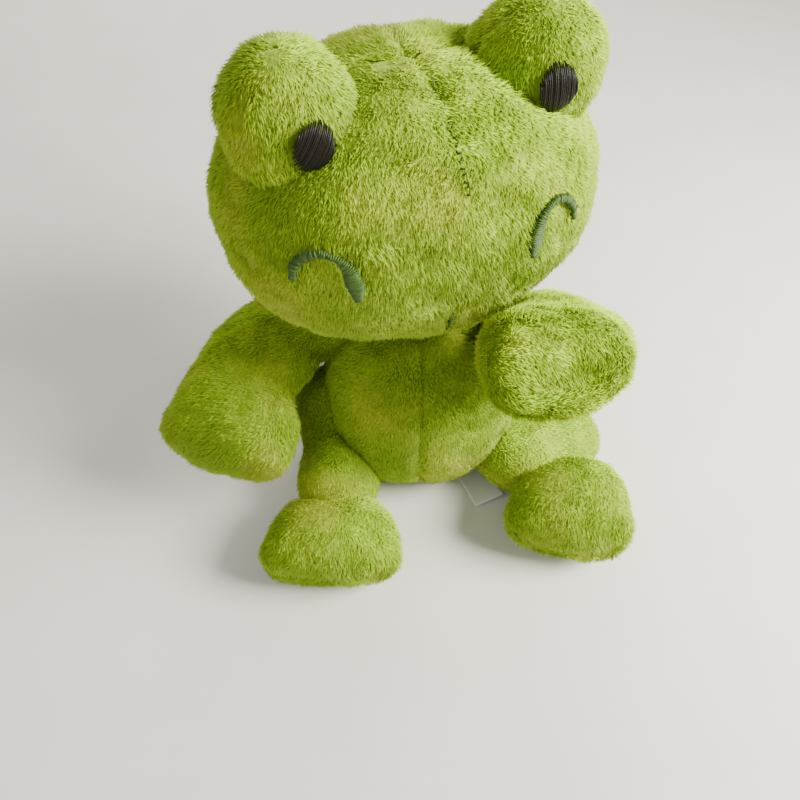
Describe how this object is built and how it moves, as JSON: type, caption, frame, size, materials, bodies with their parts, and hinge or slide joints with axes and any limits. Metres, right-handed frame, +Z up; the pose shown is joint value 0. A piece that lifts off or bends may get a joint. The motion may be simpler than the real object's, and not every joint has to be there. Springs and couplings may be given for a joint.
{
  "type": "stuffed toy frog",
  "caption": "Seated stuffed plush frog with raised eye mounds, flared paws and feet, turning head and limbs hinged at their seams.",
  "frame": {"origin": "middle of the flat seat, on the surface the frog sits on", "axes": "+Z up; the body faces -Y; +X is the frog's own left"},
  "size_m": [0.1546, 0.1304, 0.143],
  "materials": {
    "green_plush": "short-pile plush",
    "stuffing": "polyester filling",
    "pupil_embroidery": "satin stitch",
    "green_thread": "satin stitch",
    "pouch_cloth": "plain woven",
    "pellets": "matte",
    "label_satin": "woven satin"
  },
  "bodies": {
    "torso": {"seat_panel": "green_plush", "belly_right": "green_plush", "belly_left": "green_plush", "back_right": "green_plush", "back_left": "green_plush", "torso_stuffing": "stuffing", "pellet_pouch": "pouch_cloth", "pellet_fill": "pellets", "closing_stitches": "green_thread"},
    "neck": {"neck_stuffing": "stuffing"},
    "neck_seam": {"neck_band": "green_plush"},
    "head": {"face_panel": "green_plush", "head_back_right": "green_plush", "head_back_left": "green_plush", "head_stuffing": "stuffing", "forehead_dart_seam": "green_thread", "chin_dart_seam": "green_thread", "right_eye_front": "green_plush", "right_eye_back": "green_plush", "right_eye_stuffing": "stuffing", "left_eye_front": "green_plush", "left_eye_back": "green_plush", "left_eye_stuffing": "stuffing", "right_pupil": "pupil_embroidery", "left_pupil": "pupil_embroidery", "right_cheek_mark": "green_thread", "left_cheek_mark": "green_thread"},
    "right_shoulder": {"right_shoulder_band": "green_plush"},
    "right_arm": {"right_arm_top": "green_plush", "right_arm_underside": "green_plush", "right_arm_stuffing": "stuffing"},
    "right_hip": {"right_hip_band": "green_plush"},
    "right_leg": {"right_thigh_top": "green_plush", "right_thigh_underside": "green_plush", "right_thigh_stuffing": "stuffing"},
    "right_foot": {"right_foot_top": "green_plush", "right_foot_sole": "green_plush", "right_foot_stuffing": "stuffing"},
    "left_shoulder": {"left_shoulder_band": "green_plush"},
    "left_arm": {"left_arm_top": "green_plush", "left_arm_underside": "green_plush", "left_arm_stuffing": "stuffing"},
    "left_hip": {"left_hip_band": "green_plush"},
    "left_leg": {"left_thigh_top": "green_plush", "left_thigh_underside": "green_plush", "left_thigh_stuffing": "stuffing"},
    "left_foot": {"left_foot_top": "green_plush", "left_foot_sole": "green_plush", "left_foot_stuffing": "stuffing"},
    "label": {"care_label": "label_satin"}
  },
  "joints": [
    {"name": "neck_turn", "type": "hinge", "parent": "torso", "child": "neck", "pos_m": [-0.002, 0.015, 0.058], "axis": [0, 0, 1], "range_deg": [-10, 20], "stiffness_Nm_per_rad": 0.05},
    {"name": "neck_tilt", "type": "hinge", "parent": "neck", "child": "neck_seam", "pos_m": [-0.002, 0.015, 0.058], "axis": [0.3584, -0.9336, 0], "range_deg": [-4, 5], "stiffness_Nm_per_rad": 0.2},
    {"name": "neck_nod", "type": "hinge", "parent": "neck_seam", "child": "head", "pos_m": [-0.002, 0.015, 0.058], "axis": [0.9336, 0.3584, 0], "range_deg": [-10, 3], "stiffness_Nm_per_rad": 0.2},
    {"name": "right_arm_lift", "type": "hinge", "parent": "torso", "child": "right_shoulder", "pos_m": [-0.027, 0.013, 0.05], "axis": [-0.7193, 0.6947, 0], "range_deg": [-6, 16], "stiffness_Nm_per_rad": 0.03},
    {"name": "right_arm_swing", "type": "hinge", "parent": "right_shoulder", "child": "right_arm", "pos_m": [-0.027, 0.013, 0.05], "axis": [0, 0, 1], "range_deg": [-20, 6], "stiffness_Nm_per_rad": 0.03},
    {"name": "left_arm_lift", "type": "hinge", "parent": "torso", "child": "left_shoulder", "pos_m": [0.027, 0.013, 0.05], "axis": [-0.9781, -0.2079, 0], "range_deg": [-9, 3], "stiffness_Nm_per_rad": 0.03},
    {"name": "left_arm_swing", "type": "hinge", "parent": "left_shoulder", "child": "left_arm", "pos_m": [0.027, 0.013, 0.05], "axis": [0, 0, 1], "range_deg": [-6, 15], "stiffness_Nm_per_rad": 0.03},
    {"name": "right_leg_lift", "type": "hinge", "parent": "torso", "child": "right_hip", "pos_m": [-0.025, -0.012, 0.0145], "axis": [-0.9877, 0.1564, 0], "range_deg": [-6, 8], "stiffness_Nm_per_rad": 0.03},
    {"name": "right_leg_swing", "type": "hinge", "parent": "right_hip", "child": "right_leg", "pos_m": [-0.025, -0.012, 0.0145], "axis": [0, 0, 1], "range_deg": [-12, 3], "stiffness_Nm_per_rad": 0.03},
    {"name": "right_ankle", "type": "hinge", "parent": "right_leg", "child": "right_foot", "pos_m": [-0.0286, -0.03472, 0.0145], "axis": [-0.9877, 0.1564, 0], "range_deg": [-10, 10], "stiffness_Nm_per_rad": 0.03},
    {"name": "left_leg_lift", "type": "hinge", "parent": "torso", "child": "left_hip", "pos_m": [0.025, -0.012, 0.0145], "axis": [-0.4384, -0.8988, 0], "range_deg": [-6, 7], "stiffness_Nm_per_rad": 0.03},
    {"name": "left_leg_swing", "type": "hinge", "parent": "left_hip", "child": "left_leg", "pos_m": [0.025, -0.012, 0.0145], "axis": [0, 0, 1], "range_deg": [-6, 10], "stiffness_Nm_per_rad": 0.03},
    {"name": "left_ankle", "type": "hinge", "parent": "left_leg", "child": "left_foot", "pos_m": [0.04567, -0.02208, 0.0145], "axis": [-0.9703, -0.2419, 0], "range_deg": [-10, 10], "stiffness_Nm_per_rad": 0.03},
    {"name": "label_flap", "type": "hinge", "parent": "torso", "child": "label", "pos_m": [0.017, -0.016, 0.0004], "axis": [-0.9397, -0.342, 0], "range_deg": [0, 5]}
  ]
}
